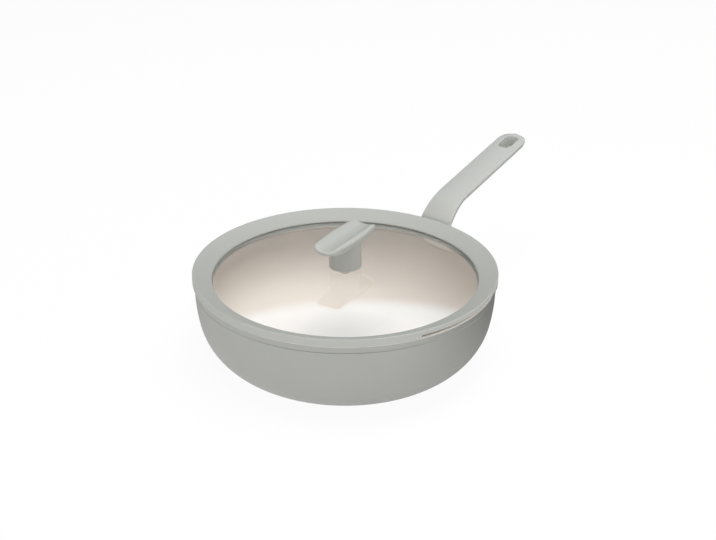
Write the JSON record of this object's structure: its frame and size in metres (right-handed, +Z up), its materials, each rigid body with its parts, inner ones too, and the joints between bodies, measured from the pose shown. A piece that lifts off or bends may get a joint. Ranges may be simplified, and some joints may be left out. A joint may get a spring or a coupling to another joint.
{
  "type": "wok with lid",
  "caption": "Deep round-sided pan with one long cranked handle, and a domed glass lid with a wide soft rim, pour slots and a trough-topped knob.",
  "frame": {"origin": "middle of the face of the steel plate that the pan stands on", "axes": "+X along the handle, away from the pan; +Z up, out of the pan; +Y to the right of someone who holds the handle and faces the pan"},
  "size_m": [0.4551, 0.2912, 0.143],
  "materials": {
    "coated_grey": "matte",
    "moulded_grey": "matte",
    "silicone_grey": "matte",
    "silicone_clear": "satin",
    "glass": "gloss",
    "bare_aluminium": "satin",
    "steel": "satin",
    "brass": "satin"
  },
  "bodies": {
    "pan": {"pan_body": "coated_grey", "induction_plate": "steel", "handle_lug": "bare_aluminium", "handle_grip": "moulded_grey", "handle_lock_washer": "steel", "handle_screw": "steel"},
    "lid": {"lid_rim": "silicone_grey", "lid_glass": "glass", "knob_body": "moulded_grey", "knob_insert": "brass", "knob_gasket": "silicone_clear", "knob_seal": "silicone_clear", "knob_washer": "steel", "knob_screw": "steel"}
  },
  "joints": [
    {"name": "lid_lift", "type": "slide", "parent": "pan", "child": "lid", "axis": [0, 0, 1], "range_m": [0, 0.12]}
  ]
}
